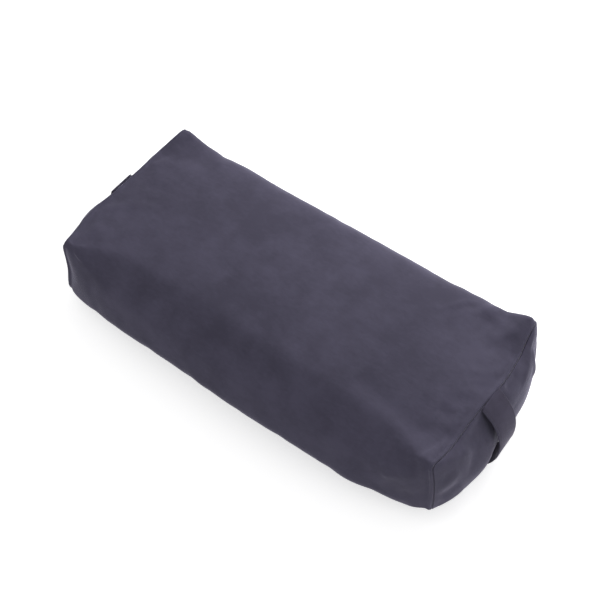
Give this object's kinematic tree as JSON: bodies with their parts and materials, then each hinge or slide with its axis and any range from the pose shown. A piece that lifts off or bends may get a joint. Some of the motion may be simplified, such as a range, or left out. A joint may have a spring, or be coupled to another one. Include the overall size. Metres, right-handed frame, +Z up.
{
  "type": "yoga bolster",
  "caption": "Long rectangular yoga bolster: a zipped cloth cover with a carry handle on each end, over foam slabs in wadding and a liner bag.",
  "frame": {"origin": "middle of the cushion between its two end seams, on the surface that the bolster lies on", "axes": "+X along the bolster towards the pictured end, +Y towards the zip, +Z up"},
  "size_m": [0.6691, 0.3014, 0.1417],
  "materials": {
    "cover_cloth": "brushed suede-like cloth, dark violet grey, soft and slightly mottled",
    "handle_cloth": "the cover's cloth, folded and flat",
    "binding": "plain woven tape",
    "zip_tape": "woven twill tape",
    "zip_teeth": "moulded plastic, satin",
    "zip_metal": "dark lacquered die casting",
    "liner_cloth": "undyed plain-weave cotton",
    "wadding": "white fibre wadding",
    "foam": "open-cell foam, matt"
  },
  "bodies": {
    "cover": {"cover_wrap": "cover_cloth", "end_panel_near": "cover_cloth", "end_panel_far": "cover_cloth", "seam_tape_near": "binding", "seam_tape_far": "binding", "zip_tape_upper": "zip_tape", "zip_tape_lower": "zip_tape", "zip_teeth_upper": "zip_teeth", "zip_teeth_lower": "zip_teeth", "zip_top_stop_upper": "zip_metal", "zip_top_stop_lower": "zip_metal", "zip_bottom_stop": "zip_metal", "liner_wrap": "liner_cloth", "liner_end_near": "liner_cloth", "liner_end_far": "liner_cloth", "batting_wrap": "wadding", "batting_end_near": "wadding", "batting_end_far": "wadding", "foam_core_top": "foam", "foam_core_middle": "foam", "foam_core_bottom": "foam"},
    "zip_slider": {"zip_slider": "zip_metal"},
    "zip_pull": {"zip_pull": "zip_metal"},
    "handle_near": {"handle_near": "handle_cloth"},
    "handle_far": {"handle_far": "handle_cloth"}
  },
  "joints": [
    {"name": "zip_slide", "type": "slide", "parent": "cover", "child": "zip_slider", "axis": [-1, 0, 0], "range_m": [0, 0.46], "deforming": ["zip_teeth_upper", "zip_teeth_lower"]},
    {"name": "zip_pull_hinge", "type": "hinge", "parent": "zip_slider", "child": "zip_pull", "pos_m": [0.23312, 0.14637, 0.0445], "axis": [0, 0, -1], "range_deg": [0, 180]},
    {"name": "handle_near_pull", "type": "slide", "parent": "cover", "child": "handle_near", "axis": [1, 0, 0], "range_m": [0, 0.015], "stiffness_N_per_m": 80},
    {"name": "handle_far_pull", "type": "slide", "parent": "cover", "child": "handle_far", "axis": [-1, 0, 0], "range_m": [0, 0.015], "stiffness_N_per_m": 80}
  ]
}
